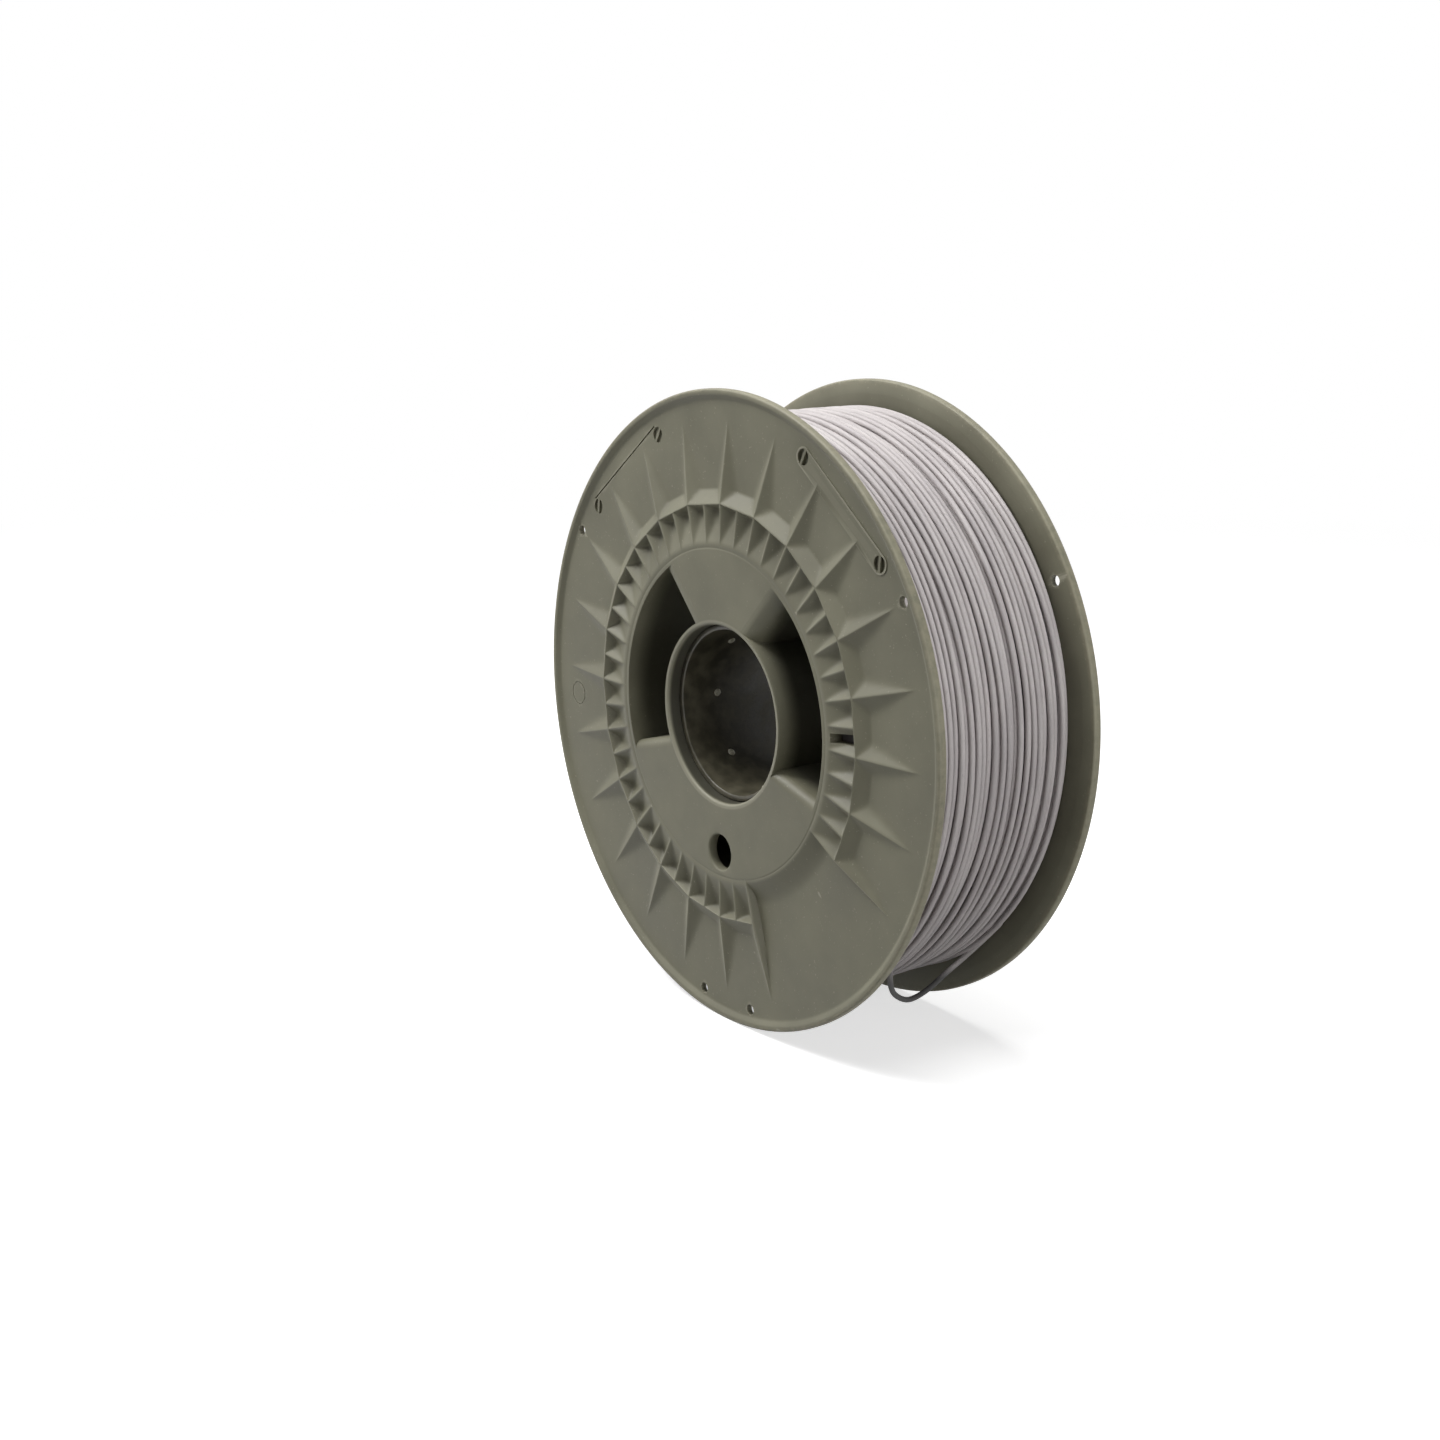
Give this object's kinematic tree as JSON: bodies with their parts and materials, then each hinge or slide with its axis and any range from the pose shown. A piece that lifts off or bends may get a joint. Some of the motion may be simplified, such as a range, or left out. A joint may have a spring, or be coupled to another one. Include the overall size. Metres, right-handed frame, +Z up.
{
  "type": "filament spool",
  "caption": "Spool of 1.75 mm 3D-printing filament: ray-ribbed flanges, hollow hub with side windows, 52 mm spindle bore and a loose filament end.",
  "frame": {"origin": "centre of the spool: on the axis of the bore, halfway between the two hub faces", "axes": "+Y along the bore axis, from the front flange to the rear flange; +Z up with the drive holes lowest; +X to the right seen from the front"},
  "size_m": [0.2, 0.0658, 0.2],
  "materials": {
    "flange_plastic": "satin moulded, olive grey",
    "sleeve_plastic": "satin moulded, dark olive grey",
    "filament": "matt, warm light grey"
  },
  "bodies": {
    "root": {"front_flange": "flange_plastic", "front_hub": "flange_plastic", "front_barrel": "flange_plastic", "rear_flange": "flange_plastic", "rear_hub": "flange_plastic", "rear_barrel": "flange_plastic", "bore_sleeve": "sleeve_plastic", "filament_inner_layers": "filament", "filament_outer_layer": "filament", "filament_free_end": "filament"}
  },
  "joints": []
}
